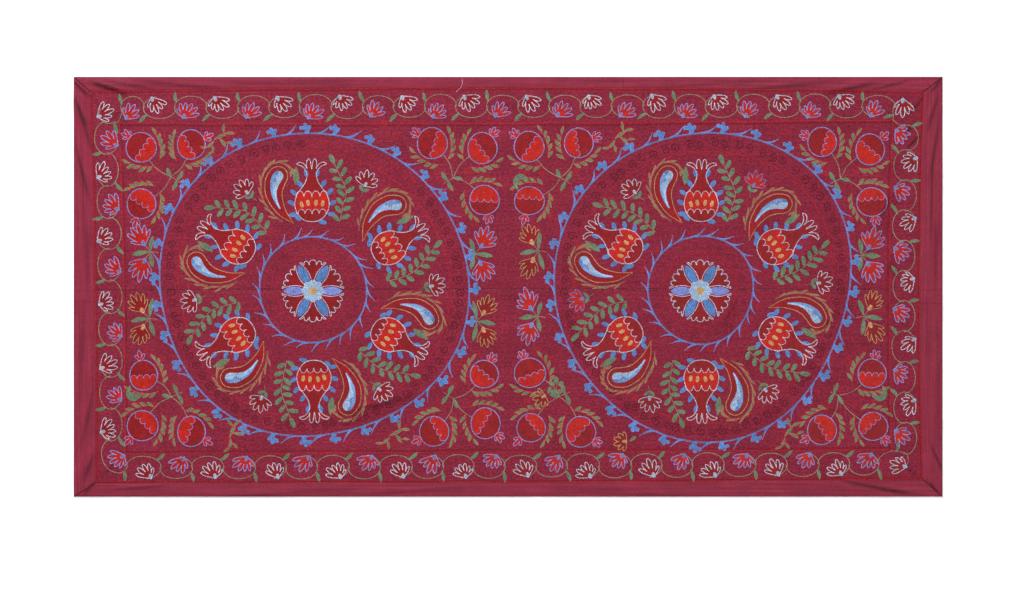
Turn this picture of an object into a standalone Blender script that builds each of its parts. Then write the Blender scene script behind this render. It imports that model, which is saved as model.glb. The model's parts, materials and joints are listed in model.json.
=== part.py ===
"""A suzani: two embroidered lengths of maroon cloth joined along the middle and framed by four plain strips.

Metres, +Z up. The cloth lies face up on a flat surface, its long side along X and its top edge towards +Y.
The origin is the middle of its underside. Each piece keeps one seam allowance of air to its neighbours.
"""

import math
from collections import namedtuple

import bmesh
import bpy
from mathutils import Vector

# Driving dimensions.
LENGTH = 2.200
WIDTH = 1.063
THICKNESS = 0.002
SEAM_GAP = 0.0003
MITRE_GAP = 0.00025

# Each seam is told by three distances, at its start, middle and end: left to right or bottom to top.
Seam = namedtuple("Seam", "start middle end")

# The seam between the two loom widths, above the middle of the cloth.
MIDDLE = Seam(start=-0.010, middle=-0.007, end=-0.009)

# How wide each plain strip shows. The embroidery pulls the ground in, so no seam is quite straight.
TOP = Seam(start=0.038, middle=0.028, end=0.038)
BOTTOM = Seam(start=0.034, middle=0.037, end=0.045)
LEFT = Seam(start=0.055, middle=0.054, end=0.040)
RIGHT = Seam(start=0.049, middle=0.058, end=0.046)

# The cells of the cloth, finer at the right end, where most of the creases are.
PANEL_CELL_X = 0.050
PANEL_CELL_Y = 0.045
FINE_FROM_X = 0.70
FINE_CELL_X = 0.025
STRIP_CELL_ALONG = 0.035
STRIP_CELLS_ACROSS = 2

# The creases that lift the cloth: the middle of each, its length and half width, its heading from +X in
# degrees, and how high the cloth stands along its crest.
Crease = namedtuple("Crease", "x y length spread heading height")
CREASES = [
    Crease(x=0.960, y=0.215, length=0.150, spread=0.034, heading=66, height=0.0045),
    Crease(x=0.966, y=0.310, length=0.100, spread=0.030, heading=58, height=0.0030),
    Crease(x=0.964, y=0.050, length=0.120, spread=0.030, heading=80, height=0.0035),
    Crease(x=0.752, y=0.083, length=0.200, spread=0.040, heading=43, height=0.0040),
    Crease(x=0.550, y=-0.066, length=0.180, spread=0.040, heading=61, height=0.0035),
    Crease(x=-0.325, y=-0.283, length=0.300, spread=0.050, heading=16, height=0.0030),
    Crease(x=1.066, y=0.080, length=0.340, spread=0.026, heading=89, height=0.0030),
    Crease(x=0.875, y=0.508, length=0.220, spread=0.022, heading=10, height=0.0035),
    Crease(x=0.892, y=-0.506, length=0.200, spread=0.022, heading=-12, height=0.0030),
    Crease(x=-1.082, y=0.440, length=0.180, spread=0.022, heading=-68, height=0.0035),
    Crease(x=-0.990, y=0.512, length=0.140, spread=0.022, heading=-20, height=0.0030),
    Crease(x=-1.065, y=-0.440, length=0.160, spread=0.024, heading=62, height=0.0030),
]

# The cloth's own colours, as sRGB.
GROUND_MAROON = (0.553, 0.192, 0.275)
STRIP_MAROON = (0.561, 0.188, 0.271)
CLOTH_ROUGHNESS = 0.85
STRIP_ROUGHNESS = 0.55


def clear_scene():
    for obj in list(bpy.data.objects):
        bpy.data.objects.remove(obj, do_unlink=True)


def mix(a, b, share):
    return a + (b - a) * share


def bowed(seam, along, span):
    """A seam's distance at a point of its span, on the parabola through its three values."""
    place = 2 * along / span
    slope = (seam.end - seam.start) / 2
    bend = (seam.end + seam.start) / 2 - seam.middle
    return seam.middle + slope * place + bend * place**2


def left_seam(y):
    return -LENGTH / 2 + bowed(LEFT, y, WIDTH)


def right_seam(y):
    return LENGTH / 2 - bowed(RIGHT, y, WIDTH)


def top_seam(x):
    return WIDTH / 2 - bowed(TOP, x, LENGTH)


def bottom_seam(x):
    return -WIDTH / 2 + bowed(BOTTOM, x, LENGTH)


def middle_seam(x):
    return bowed(MIDDLE, x, LENGTH)


def inner_corner(side_seam, cross_seam, x, y):
    """Where an end seam meets a long seam, found by stepping from a first guess."""
    for _ in range(4):
        x = side_seam(y)
        y = cross_seam(x)
    return Vector((x, y))


def lift(x, y):
    """How far the creases hold the underside off the surface at a point."""
    total = 0.0
    for crease in CREASES:
        heading = math.radians(crease.heading)
        dx = x - crease.x
        dy = y - crease.y
        along = abs(dx * math.cos(heading) + dy * math.sin(heading)) / (crease.length / 2)
        across = abs(dy * math.cos(heading) - dx * math.sin(heading)) / crease.spread
        if along < 1 and across < 1:
            total += crease.height * (1 - along**2) ** 2 * (1 - across**2) ** 2
    return total


def cloth_material(name, srgb, roughness):
    material = bpy.data.materials.new(name)
    material.use_nodes = True
    linear = [c / 12.92 if c <= 0.04045 else ((c + 0.055) / 1.055) ** 2.4 for c in srgb]
    shader = material.node_tree.nodes["Principled BSDF"]
    shader.inputs["Base Color"].default_value = (*linear, 1.0)
    shader.inputs["Roughness"].default_value = roughness
    shader.inputs["Metallic"].default_value = 0.0
    return material


def sheet(name, columns, rows, place, material, collection):
    """A sheet of cloth: a unit grid laid out by place(u, v), lifted by the creases and given its thickness."""
    mesh = bpy.data.meshes.new(name)
    bm = bmesh.new()
    half = 0.5
    bmesh.ops.create_grid(bm, x_segments=columns, y_segments=rows, size=half)
    for vert in bm.verts:
        spot = place(vert.co.x + half, vert.co.y + half)
        vert.co = Vector((spot.x, spot.y, lift(spot.x, spot.y) + THICKNESS))
    extruded = bmesh.ops.extrude_face_region(bm, geom=bm.faces[:], use_keep_orig=True)
    underside = [item for item in extruded["geom"] if isinstance(item, bmesh.types.BMVert)]
    bmesh.ops.translate(bm, verts=underside, vec=(0, 0, -THICKNESS))
    bmesh.ops.recalc_face_normals(bm, faces=bm.faces[:])
    bm.to_mesh(mesh)
    bm.free()
    mesh.materials.append(material)
    obj = bpy.data.objects.new(name, mesh)
    collection.objects.link(obj)
    return obj


def panel_columns():
    """Shares of a panel's length at which its columns stand, closer together towards the right end."""
    start = -LENGTH / 2
    coarse = round((FINE_FROM_X - start) / PANEL_CELL_X)
    fine = round((LENGTH / 2 - FINE_FROM_X) / FINE_CELL_X)
    turn = (FINE_FROM_X - start) / LENGTH
    shares = [turn * i / coarse for i in range(coarse)]
    shares += [mix(turn, 1.0, i / fine) for i in range(fine + 1)]
    return shares


def ground_panel(name, low_edge, high_edge, material, collection):
    """One loom width of the embroidered ground, between the end seams and two long edges."""
    shares = panel_columns()
    columns = len(shares) - 1
    rows = round(WIDTH / 2 / PANEL_CELL_Y)

    def place(u, v):
        share = shares[round(u * columns)]
        x = mix(-LENGTH / 2, LENGTH / 2, share)
        for _ in range(4):
            y = mix(low_edge(x), high_edge(x), v)
            x = mix(left_seam(y) + SEAM_GAP, right_seam(y) - SEAM_GAP, share)
        return Vector((x, y))

    return sheet(name, columns, rows, place, material, collection)


def border_strip(name, inner_ends, outer_ends, seam_point, material, collection):
    """One plain strip, cut to a mitre at both ends. seam_point puts a point of the chord on its seam."""
    along = (outer_ends[1] - outer_ends[0]).normalized()
    inset = [along * MITRE_GAP, -along * MITRE_GAP]
    inner = [end + move for end, move in zip(inner_ends, inset)]
    outer = [end + move for end, move in zip(outer_ends, inset)]
    columns = round((outer[1] - outer[0]).length / STRIP_CELL_ALONG)

    def place(u, v):
        seam = seam_point(inner[0].lerp(inner[1], u))
        return seam.lerp(outer[0].lerp(outer[1], u), v)

    return sheet(name, columns, STRIP_CELLS_ACROSS, place, material, collection)


def build():
    clear_scene()
    suzani = bpy.data.collections.new("suzani")
    bpy.context.scene.collection.children.link(suzani)
    ground = cloth_material("maroon_ground", GROUND_MAROON, CLOTH_ROUGHNESS)
    plain = cloth_material("maroon_strip", STRIP_MAROON, STRIP_ROUGHNESS)

    ground_panel(
        "ground_upper",
        lambda x: middle_seam(x) + SEAM_GAP / 2,
        lambda x: top_seam(x) - SEAM_GAP,
        ground,
        suzani,
    )
    ground_panel(
        "ground_lower",
        lambda x: bottom_seam(x) + SEAM_GAP,
        lambda x: middle_seam(x) - SEAM_GAP / 2,
        ground,
        suzani,
    )

    half_length = LENGTH / 2
    half_width = WIDTH / 2
    inner = {
        "top_left": inner_corner(left_seam, top_seam, -half_length, half_width),
        "top_right": inner_corner(right_seam, top_seam, half_length, half_width),
        "bottom_left": inner_corner(left_seam, bottom_seam, -half_length, -half_width),
        "bottom_right": inner_corner(right_seam, bottom_seam, half_length, -half_width),
    }
    outer = {
        "top_left": Vector((-half_length, half_width)),
        "top_right": Vector((half_length, half_width)),
        "bottom_left": Vector((-half_length, -half_width)),
        "bottom_right": Vector((half_length, -half_width)),
    }
    strips = [
        ("border_top", "top_left", "top_right", lambda p: Vector((p.x, top_seam(p.x)))),
        ("border_bottom", "bottom_left", "bottom_right", lambda p: Vector((p.x, bottom_seam(p.x)))),
        ("border_left", "bottom_left", "top_left", lambda p: Vector((left_seam(p.y), p.y))),
        ("border_right", "bottom_right", "top_right", lambda p: Vector((right_seam(p.y), p.y))),
    ]
    for name, start, end, seam_point in strips:
        border_strip(name, [inner[start], inner[end]], [outer[start], outer[end]], seam_point, plain, suzani)


build()
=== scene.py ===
import json
import math

import bpy
import numpy as np
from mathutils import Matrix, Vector
from mathutils.geometry import delaunay_2d_cdt

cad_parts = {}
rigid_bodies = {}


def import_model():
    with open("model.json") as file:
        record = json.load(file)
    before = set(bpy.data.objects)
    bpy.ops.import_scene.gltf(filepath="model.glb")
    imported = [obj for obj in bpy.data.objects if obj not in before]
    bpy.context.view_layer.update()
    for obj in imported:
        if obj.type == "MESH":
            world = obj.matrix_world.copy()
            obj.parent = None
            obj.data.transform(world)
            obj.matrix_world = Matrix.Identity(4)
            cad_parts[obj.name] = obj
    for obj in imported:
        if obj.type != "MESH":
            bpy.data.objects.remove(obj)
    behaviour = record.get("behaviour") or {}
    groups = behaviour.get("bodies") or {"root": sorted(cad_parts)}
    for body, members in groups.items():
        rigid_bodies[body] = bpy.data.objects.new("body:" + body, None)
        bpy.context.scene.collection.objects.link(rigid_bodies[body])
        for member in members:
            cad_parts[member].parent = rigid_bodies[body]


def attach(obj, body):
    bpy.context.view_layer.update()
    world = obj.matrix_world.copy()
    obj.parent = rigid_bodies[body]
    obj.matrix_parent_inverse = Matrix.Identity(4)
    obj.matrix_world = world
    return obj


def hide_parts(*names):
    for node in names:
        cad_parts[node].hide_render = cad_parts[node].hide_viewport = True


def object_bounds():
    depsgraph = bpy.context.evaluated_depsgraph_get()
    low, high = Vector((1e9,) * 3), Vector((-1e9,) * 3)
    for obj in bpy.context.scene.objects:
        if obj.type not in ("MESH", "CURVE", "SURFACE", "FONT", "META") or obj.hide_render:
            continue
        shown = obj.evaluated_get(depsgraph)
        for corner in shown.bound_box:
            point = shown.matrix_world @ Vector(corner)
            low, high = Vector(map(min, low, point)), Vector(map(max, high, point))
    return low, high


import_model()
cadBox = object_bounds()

for loaded in bpy.context.scene.objects:
    loaded.select_set(False)

# Places in the design are complex numbers: the real part runs along X and the imaginary part along Y.
# Motifs are drawn in millimetres around their own root, heading up, and then set out on the cloth in metres.

random = np.random.default_rng(1907)
low, high = cadBox
clothLength = high.x - low.x
clothWidth = high.y - low.y


def toLinear(hexColour):
    channels = [int(hexColour[i:i + 2], 16) / 255 for i in (0, 2, 4)]
    return [c / 12.92 if c <= 0.04045 else ((c + 0.055) / 1.055) ** 2.4 for c in channels] + [1.0]


def addNode(tree, kind, settings=None, inputs=None):
    node = tree.nodes.new(kind)
    for name, value in (settings or {}).items():
        setattr(node, name, value)
    for name, value in (inputs or {}).items():
        if isinstance(value, bpy.types.NodeSocket):
            tree.links.new(value, node.inputs[name])
        else:
            node.inputs[name].default_value = value
    return node


def newMaterial(name):
    material = bpy.data.materials.new(name)
    material.use_nodes = True
    return material, material.node_tree, material.node_tree.nodes["Principled BSDF"]


# Seams: each strip's width at the start, middle and end of its side, as the solids have them
seams = {
    "gap": 0.0003,
    "mitreGap": 0.00025,
    "middle": (-0.010, -0.007, -0.009),
    "top": (0.038, 0.028, 0.038),
    "bottom": (0.034, 0.037, 0.045),
    "left": (0.055, 0.054, 0.040),
    "right": (0.049, 0.058, 0.046),
}

# The cloth's surface: how thick it lies, and the small waves that handling and stitching leave in it
surface = {
    "thickness": 0.002,
    "cell": 0.0086,
    "stripCell": (0.0070, 0.0042),
    "seamDip": 0.0006,
    "seamDipWidth": 0.0024,
    "waves": [
        {"count": 12, "length": 0.190, "height": 0.00006},
        {"count": 16, "length": 0.060, "height": 0.00004},
        {"count": 18, "length": 0.024, "height": 0.00004},
    ],
}

# Creases that lift the cloth, in metres and degrees. The first twelve are the solids' own. Those with a sharp
# crest are pressed folds.
creaseColumns = ("x", "y", "length", "spread", "heading", "height", "sharp")
creases = [dict(zip(creaseColumns, row)) for row in [
    (0.960, 0.215, 0.150, 0.034, 66, 0.0045, False),
    (0.966, 0.310, 0.100, 0.030, 58, 0.0030, False),
    (0.964, 0.050, 0.120, 0.030, 80, 0.0035, False),
    (0.752, 0.083, 0.200, 0.040, 43, 0.0040, False),
    (0.550, -0.066, 0.180, 0.040, 61, 0.0035, False),
    (-0.325, -0.283, 0.300, 0.050, 16, 0.0030, False),
    (1.066, 0.080, 0.340, 0.026, 89, 0.0030, False),
    (0.875, 0.508, 0.220, 0.022, 10, 0.0035, False),
    (0.892, -0.506, 0.200, 0.022, -12, 0.0030, False),
    (-1.082, 0.440, 0.180, 0.022, -68, 0.0035, False),
    (-0.990, 0.512, 0.140, 0.022, -20, 0.0030, False),
    (-1.065, -0.440, 0.160, 0.024, 62, 0.0030, False),
    # pressed folds at the mitres and in the strips
    (-1.082, 0.508, 0.075, 0.010, -45, 0.0034, True),
    (-1.010, 0.508, 0.110, 0.013, -18, 0.0038, True),
    (-0.960, 0.516, 0.160, 0.012, -9, 0.0016, True),
    (-1.088, 0.440, 0.090, 0.012, -68, 0.0034, True),
    (-1.072, 0.385, 0.120, 0.012, -72, 0.0014, True),
    (0.868, 0.508, 0.160, 0.012, 11, 0.0020, True),
    (1.080, 0.512, 0.060, 0.010, 50, 0.0020, True),
    (1.070, 0.440, 0.110, 0.012, 73, 0.0018, True),
    (1.068, 0.215, 0.240, 0.010, 88, 0.0014, True),
    (1.080, -0.505, 0.060, 0.010, -50, 0.0020, True),
    (0.925, -0.502, 0.210, 0.012, -12, 0.0026, True),
    (0.985, -0.512, 0.150, 0.010, -9, 0.0018, True),
    (1.083, -0.440, 0.110, 0.011, -66, 0.0020, True),
    (1.075, 0.345, 0.170, 0.011, 82, 0.0018, True),
    (0.965, 0.514, 0.130, 0.010, 14, 0.0016, True),
    (0.700, 0.512, 0.230, 0.011, 5, 0.0014, True),
    (-0.820, 0.514, 0.240, 0.011, -5, 0.0014, True),
    (-1.084, 0.290, 0.170, 0.012, -76, 0.0018, True),
    (-1.070, -0.330, 0.190, 0.012, 78, 0.0014, True),
    (-1.066, -0.510, 0.060, 0.010, 54, 0.0020, True),
    (-1.066, -0.455, 0.090, 0.011, 70, 0.0018, True),
    (-0.640, -0.524, 0.420, 0.012, 3, 0.0010, True),
    (-0.230, -0.512, 0.380, 0.011, 4, 0.0010, True),
    (0.330, -0.520, 0.460, 0.012, -2, 0.0008, True),
    (-0.930, -0.505, 0.200, 0.010, 5, 0.0012, True),
    (-0.600, 0.520, 0.420, 0.012, -2, 0.0008, True),
    (0.520, 0.518, 0.360, 0.010, 4, 0.0008, True),
    (-1.085, -0.160, 0.400, 0.012, 87, 0.0008, True),
    (-1.078, 0.150, 0.360, 0.012, 92, 0.0009, True),
    (1.082, -0.230, 0.420, 0.012, 91, 0.0009, True),
    # pulls and tucks in the field
    (-1.020, 0.452, 0.120, 0.009, -44, 0.0020, True),
    (-0.975, 0.428, 0.090, 0.008, -40, 0.0016, True),
    (1.022, 0.452, 0.100, 0.009, 48, 0.0020, True),
    (-1.010, -0.455, 0.090, 0.009, 42, 0.0018, True),
    (1.020, -0.462, 0.080, 0.009, -45, 0.0018, True),
    (1.010, 0.400, 0.080, 0.008, 50, 0.0026, True),
    (1.022, 0.368, 0.070, 0.007, 42, 0.0022, True),
    (0.950, 0.200, 0.090, 0.008, 64, 0.0026, True),
    (0.965, 0.055, 0.045, 0.008, 75, 0.0016, True),
    (0.752, 0.080, 0.140, 0.012, 43, 0.0018, True),
    (0.555, -0.066, 0.080, 0.010, 60, 0.0014, True),
    (-0.330, -0.293, 0.220, 0.016, 14, 0.0016, True),
    (0.001, 0.000, 0.900, 0.012, 90, 0.0003, True),
]]


def bow(three, place):
    start, middle, end = three
    return middle + (end - start) / 2 * place + ((start + end) / 2 - middle) * place**2


def leftSeam(y):
    return low.x + bow(seams["left"], 2 * y / clothWidth)


def rightSeam(y):
    return high.x - bow(seams["right"], 2 * y / clothWidth)


def topSeam(x):
    return high.y - bow(seams["top"], 2 * x / clothLength)


def bottomSeam(x):
    return low.y + bow(seams["bottom"], 2 * x / clothLength)


def middleSeam(x):
    return bow(seams["middle"], 2 * x / clothLength)


def creaseHeight(x, y, rows):
    total = np.zeros_like(x)
    for row in rows:
        heading = math.radians(row["heading"])
        dx, dy = x - row["x"], y - row["y"]
        along = np.abs(dx * math.cos(heading) + dy * math.sin(heading)) / (row["length"] / 2)
        across = np.abs(dy * math.cos(heading) - dx * math.sin(heading)) / row["spread"]
        profile = (1 - np.minimum(across, 1)) ** 2 if row["sharp"] else (1 - np.minimum(across, 1) ** 2) ** 2
        total += row["height"] * (1 - np.minimum(along, 1) ** 2) ** 2 * profile
    return total


def foldShade(x, y, rows):
    # painted shade: how deep each place lies in the dark foot of a pressed fold, on the side turned from the
    # key lamp
    total = np.zeros_like(x)
    for row in rows:
        if not row["sharp"]:
            continue
        heading = math.radians(row["heading"])
        dx, dy = x - row["x"], y - row["y"]
        along = np.abs(dx * math.cos(heading) + dy * math.sin(heading)) / (row["length"] / 2)
        across = (dy * math.cos(heading) - dx * math.sin(heading)) / row["spread"]
        lit = 1 if math.cos(heading + math.pi / 2 - 2.1) > 0 else -1
        foot = np.exp(-((across * lit + 0.45) / 0.34) ** 2)
        total += row["height"] / 0.0021 * (1 - np.minimum(along, 1) ** 2) * foot
    return np.minimum(total, 1.0)


waves = []
for band in surface["waves"]:
    for _ in range(band["count"]):
        turn = random.uniform(0, math.pi)
        beat = 2 * math.pi / (band["length"] * random.uniform(0.75, 1.35))
        waves.append((beat * math.cos(turn), beat * math.sin(turn), random.uniform(0, 6.28), band["height"]))


def topHeight(x, y):
    # the face of the cloth, without the dip at its seams
    x, y = np.asarray(x, float), np.asarray(y, float)
    total = surface["thickness"] + creaseHeight(x, y, creases)
    for beatX, beatY, start, height in waves:
        total += height * np.sin(beatX * x + beatY * y + start)
    return total


def cellEdges(length, cell):
    # lines across a sheet, closer together at its two edges, where the cloth turns down
    near = np.array([0.0, 0.0012, 0.0030])
    inner = np.linspace(0.0055, length - 0.0055, max(2, round((length - 0.011) / cell)) + 1)
    return np.concatenate((near, inner, length - near[::-1])) / length


def makeSheet(name, us, vs, place, sizeUV, material, replaced):
    # place(u, v) gives X and Y; the top is welded to a lower face all round, so the cloth has an edge
    u, v = np.meshgrid(us, vs)
    x, y = place(u, v)
    uLength, vLength = sizeUV
    edge = np.minimum(np.minimum(u, 1 - u) * uLength, np.minimum(v, 1 - v) * vLength)
    dip = surface["seamDip"] * np.exp(-(edge / surface["seamDipWidth"]) ** 2)
    top = topHeight(x, y) - dip
    under = creaseHeight(x, y, creases) + 0.0002
    rows, columns = x.shape
    count = rows * columns
    points = np.concatenate((
        np.stack((x, y, top), -1).reshape(-1, 3),
        np.stack((x, y, under), -1).reshape(-1, 3),
    ))
    grid = np.arange(count).reshape(rows, columns)
    cells = np.stack((grid[:-1, :-1], grid[:-1, 1:], grid[1:, 1:], grid[1:, :-1]), -1).reshape(-1, 4)
    rim = np.concatenate((grid[0, :], grid[1:, -1], grid[-1, -2::-1], grid[-2:0:-1, 0]))
    nextRim = np.roll(rim, -1)
    walls = np.stack((rim + count, nextRim + count, nextRim, rim), -1)
    faces = np.concatenate((cells, cells[:, ::-1] + count, walls))
    mesh = bpy.data.meshes.new(name)
    mesh.from_pydata(points.tolist(), [], faces.tolist())
    # the cloth's own map, in metres: U along the warp and V across it
    across = np.concatenate((v.ravel(), v.ravel())) * vLength
    along = np.concatenate((u.ravel(), u.ravel())) * uLength
    corners = np.zeros(len(mesh.loops), np.int32)
    mesh.loops.foreach_get("vertex_index", corners)
    uvMap = mesh.uv_layers.new(name="weave")
    uvMap.data.foreach_set("uv", np.stack((along[corners], across[corners]), -1).astype(np.float32).ravel())
    # distance to the sheet's edge, which the cloth's material turns into painted shade at the seams
    fadeAndSeamShade = mesh.attributes.new("edgeDistance", "FLOAT", "POINT")
    fadeAndSeamShade.data.foreach_set("value", np.concatenate((edge.ravel(), edge.ravel())).astype(np.float32))
    # where the cloth's colour gets painted shade at the feet of the pressed folds
    folded = mesh.attributes.new("foldShade", "FLOAT", "POINT")
    folded.data.foreach_set("value", np.tile(foldShade(x, y, creases).ravel(), 2).astype(np.float32))
    mesh.materials.append(material)
    mesh.polygons.foreach_set("use_smooth", np.ones(len(mesh.polygons), bool))
    mesh.update()
    piece = bpy.data.objects.new(name, mesh)
    bpy.context.scene.collection.objects.link(piece)
    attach(piece, "root")
    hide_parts(replaced)
    return piece


# Adras ground: silk warp over a thicker cotton weft, woven plain. The eye sees a matt cloth of fine crosswise
# ribs, streaked along the warp where the dye took unevenly. Ribs are about 0.8 mm apart on the real cloth,
# too fine to show, so they are drawn at 1.6 mm.
adras = {
    "light": "9E2B41", "mid": "7C1C33", "dark": "53091C", "speck": 1.15,
    "rib": 0.0016, "warp": 0.0011, "roughness": 0.78, "sheen": 0.05,
}


def clothMaterial(name, look, streak):
    material, tree, shader = newMaterial(name)
    weave = addNode(tree, "ShaderNodeUVMap", {"uv_map": "weave"}).outputs["UV"]
    cloud = addNode(tree, "ShaderNodeTexNoise", None, {"Vector": weave, "Scale": 16.0, "Detail": 4.0})
    long = addNode(tree, "ShaderNodeMapping", None, {"Vector": weave, "Scale": (4.0, 190.0, 1.0)})
    streaks = addNode(tree, "ShaderNodeTexNoise", None,
                      {"Vector": long.outputs[0], "Scale": 1.0, "Detail": 3.0})
    speck = addNode(tree, "ShaderNodeMapping", None, {"Vector": weave, "Scale": (150.0, 230.0, 1.0)})
    specks = addNode(tree, "ShaderNodeTexNoise", None,
                     {"Vector": speck.outputs[0], "Scale": 1.0, "Detail": 5.0, "Roughness": 0.7})
    blend = addNode(tree, "ShaderNodeMath", {"operation": "MULTIPLY"}, {0: streaks.outputs[0], 1: streak})
    mottled = addNode(tree, "ShaderNodeMath", {"operation": "MULTIPLY_ADD"},
                      {0: cloud.outputs[0], 1: 0.22, 2: blend.outputs[0]})
    grain = addNode(tree, "ShaderNodeMath", {"operation": "MULTIPLY_ADD"},
                    {0: specks.outputs[0], 1: look["speck"], 2: mottled.outputs[0]})
    ramp = addNode(tree, "ShaderNodeValToRGB", None, {"Fac": grain.outputs[0]})
    stops = ramp.color_ramp.elements
    centre = look["speck"] / 2 + 0.11 + streak / 2
    stops[0].position, stops[0].color = centre - 0.26, toLinear(look["dark"])
    stops[1].position, stops[1].color = centre + 0.26, toLinear(look["light"])
    middle = stops.new(centre)
    middle.color = toLinear(look["mid"])
    # painted shade: the colour darkens towards each seam, standing in for the shadow in its groove
    edge = addNode(tree, "ShaderNodeAttribute", {"attribute_name": "edgeDistance"})
    seamShade = addNode(tree, "ShaderNodeMapRange", None,
                    {"Value": edge.outputs["Fac"], "From Min": 0.0004, "From Max": 0.0042,
                     "To Min": 0.86, "To Max": 1.0})
    # painted shade: the colour darkens in the feet of the pressed folds, on the side turned from the key lamp
    fold = addNode(tree, "ShaderNodeAttribute", {"attribute_name": "foldShade"})
    sunk = addNode(tree, "ShaderNodeMath", {"operation": "MULTIPLY_ADD"},
                   {0: fold.outputs["Fac"], 1: -0.66, 2: 1.0})
    shade = addNode(tree, "ShaderNodeMath", {"operation": "MULTIPLY"},
                    {0: sunk.outputs[0], 1: seamShade.outputs[0]})
    shaded = addNode(tree, "ShaderNodeVectorMath", {"operation": "SCALE"},
                     {0: ramp.outputs[0], "Scale": shade.outputs[0]})
    tree.links.new(shaded.outputs[0], shader.inputs["Base Color"])
    ribs = addNode(tree, "ShaderNodeTexWave", {"wave_type": "BANDS", "bands_direction": "X"},
                   {"Vector": weave, "Scale": 0.314 / look["rib"], "Distortion": 1.2, "Detail": 2.0,
                    "Detail Scale": 3.0})
    ends = addNode(tree, "ShaderNodeTexWave", {"wave_type": "BANDS", "bands_direction": "Y"},
                   {"Vector": weave, "Scale": 0.314 / look["warp"], "Distortion": 1.0, "Detail": 1.0})
    knit = addNode(tree, "ShaderNodeMath", {"operation": "MULTIPLY"},
                   {0: ribs.outputs[1], 1: ends.outputs[1]})
    rough = addNode(tree, "ShaderNodeMath", {"operation": "MULTIPLY_ADD"},
                    {0: specks.outputs[0], 1: 1.4, 2: knit.outputs[0]})
    bump = addNode(tree, "ShaderNodeBump", None,
                   {"Height": rough.outputs[0], "Strength": 0.45, "Distance": 0.0006})
    tree.links.new(bump.outputs[0], shader.inputs["Normal"])
    shader.inputs["Roughness"].default_value = look["roughness"]
    shader.inputs["Sheen Weight"].default_value = look["sheen"]
    shader.inputs["Sheen Roughness"].default_value = 0.45
    shader.inputs["Sheen Tint"].default_value = toLinear("D46F80")
    shader.inputs["Specular IOR Level"].default_value = 0.2
    return material


# Satin-faced silk for the strips: long warp floats, smoother and glossier than the ground, with streaks
# along the strip.
satin = {
    "light": "A5304A", "mid": "831F38", "dark": "5A0A20", "speck": 0.45,
    "rib": 0.0022, "warp": 0.0014, "roughness": 0.5, "sheen": 0.06,
}

groundCloth = clothMaterial("adras_plain_weave", adras, 0.22)
stripCloth = clothMaterial("satin_faced_silk", satin, 0.5)

gap = seams["gap"]


def panel(name, lowEdge, highEdge, replaced):
    us = cellEdges(clothLength - 0.1, surface["cell"])
    vs = cellEdges(clothWidth / 2 - 0.04, surface["cell"])

    def place(u, v):
        x = low.x + clothLength * u
        for _ in range(5):
            y = lowEdge(x) + (highEdge(x) - lowEdge(x)) * v
            left, right = leftSeam(y) + gap, rightSeam(y) - gap
            x = left + (right - left) * u
        return x, y

    x, y = place(np.array([0.0, 1.0, 0.5, 0.5]), np.array([0.5, 0.5, 0.0, 1.0]))
    size = (float(x[1] - x[0]), float(y[3] - y[2]))
    return makeSheet(name, us, vs, place, size, groundCloth, replaced)


panel("adrasUpper", lambda x: middleSeam(x) + gap / 2, lambda x: topSeam(x) - gap, "ground_upper")
panel("adrasLower", lambda x: bottomSeam(x) + gap, lambda x: middleSeam(x) - gap / 2, "ground_lower")


def innerCorner(side, cross, x, y):
    for _ in range(4):
        x = side(y)
        y = cross(x)
    return complex(x, y)


inner = {
    "topLeft": innerCorner(leftSeam, topSeam, low.x, high.y),
    "topRight": innerCorner(rightSeam, topSeam, high.x, high.y),
    "bottomLeft": innerCorner(leftSeam, bottomSeam, low.x, low.y),
    "bottomRight": innerCorner(rightSeam, bottomSeam, high.x, low.y),
}
outer = {
    "topLeft": complex(low.x, high.y),
    "topRight": complex(high.x, high.y),
    "bottomLeft": complex(low.x, low.y),
    "bottomRight": complex(high.x, low.y),
}


def strip(name, start, end, onSeam, flip, replaced):
    # a plain strip from corner to corner, mitred at both, its inner edge on the seam
    along = (outer[end] - outer[start]) / abs(outer[end] - outer[start])
    inset = along * seams["mitreGap"]
    innerStart, innerEnd = inner[start] + inset, inner[end] - inset
    outerStart, outerEnd = outer[start] + inset, outer[end] - inset
    length = abs(outerEnd - outerStart)
    width = abs(onSeam((innerStart + innerEnd) / 2) - (outerStart + outerEnd) / 2)

    def place(u, v):
        # flip keeps the face of the cloth upwards, whichever way the strip runs
        v = 1 - v if flip else v
        seam = onSeam(innerStart + (innerEnd - innerStart) * u)
        edge = outerStart + (outerEnd - outerStart) * u
        spot = seam + (edge - seam) * v
        return spot.real, spot.imag

    us, vs = cellEdges(length, surface["stripCell"][0]), cellEdges(width, surface["stripCell"][1])
    makeSheet(name, us, vs, place, (length, width), stripCloth, replaced)


strip("satinTop", "topLeft", "topRight", lambda p: p.real + 1j * topSeam(p.real), False, "border_top")
strip("satinBottom", "bottomLeft", "bottomRight", lambda p: p.real + 1j * bottomSeam(p.real),
      True, "border_bottom")
strip("satinLeft", "bottomLeft", "topLeft", lambda p: leftSeam(p.imag) + 1j * p.imag, False, "border_left")
strip("satinRight", "bottomRight", "topRight", lambda p: rightSeam(p.imag) + 1j * p.imag,
      True, "border_right")

# Thread: how a line or a filled shape becomes stitches

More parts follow.
